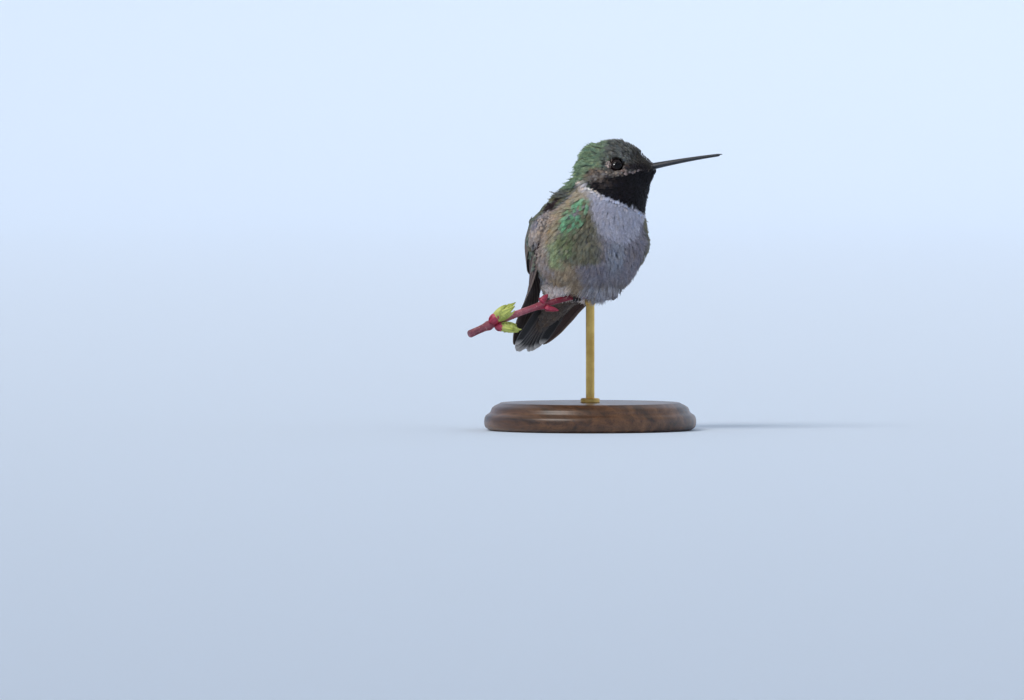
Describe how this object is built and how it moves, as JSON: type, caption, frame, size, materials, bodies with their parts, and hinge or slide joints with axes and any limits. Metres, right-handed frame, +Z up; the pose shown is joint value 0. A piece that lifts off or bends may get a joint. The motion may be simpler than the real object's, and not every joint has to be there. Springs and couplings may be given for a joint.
{
  "type": "perched hummingbird model",
  "caption": "Life-size still model of a male broad-tailed hummingbird, fluffed up on a short cut twig with its head turned to its left, held by a turned base and a slim rod.",
  "frame": {"origin": "centre of the flat underside of the stand's base", "axes": "+Z up, +X the way the bird's body faces, +Y to the bird's left"},
  "size_m": [0.0573, 0.0623, 0.0741],
  "materials": {
    "plumage_green": "bronze-green feather vanes with a metallic sheen",
    "plumage_grey": "soft grey and buff body feathers, loose at the edges",
    "plumage_white": "soft whitish body feathers",
    "flight_feather": "dusky brown flight feathers, smooth and slightly shiny",
    "horn": "black horn of the bill and the scaled feet",
    "eye": "wet gloss, almost black",
    "twig_bark": "smooth red young bark",
    "bud": "coral red bud scales, satin",
    "leaf": "folded young leaves, yellow-green",
    "wood": "turned walnut, oiled",
    "brass": "drawn rod, satin"
  },
  "bodies": {
    "root": {"trunk": "plumage_grey", "neck": "plumage_white", "head": "plumage_green", "bill_upper": "horn", "bill_lower": "horn", "eye_left": "eye", "eye_right": "eye", "tail": "flight_feather", "tail_coverts_upper": "plumage_green", "tail_coverts_under": "plumage_grey", "wing_left_coverts": "plumage_green", "wing_left_primaries": "flight_feather", "wing_left_secondaries": "flight_feather", "wing_right_coverts": "plumage_green", "wing_right_primaries": "flight_feather", "wing_right_secondaries": "flight_feather", "leg_left": "horn", "leg_right": "horn", "foot_left": "horn", "foot_right": "horn", "perch_twig": "twig_bark", "perch_bud_upper": "bud", "perch_bud_lower": "bud", "perch_leaves_upper": "leaf", "perch_leaves_lower": "leaf", "stand_base": "wood", "stand_rod": "brass"}
  },
  "joints": []
}
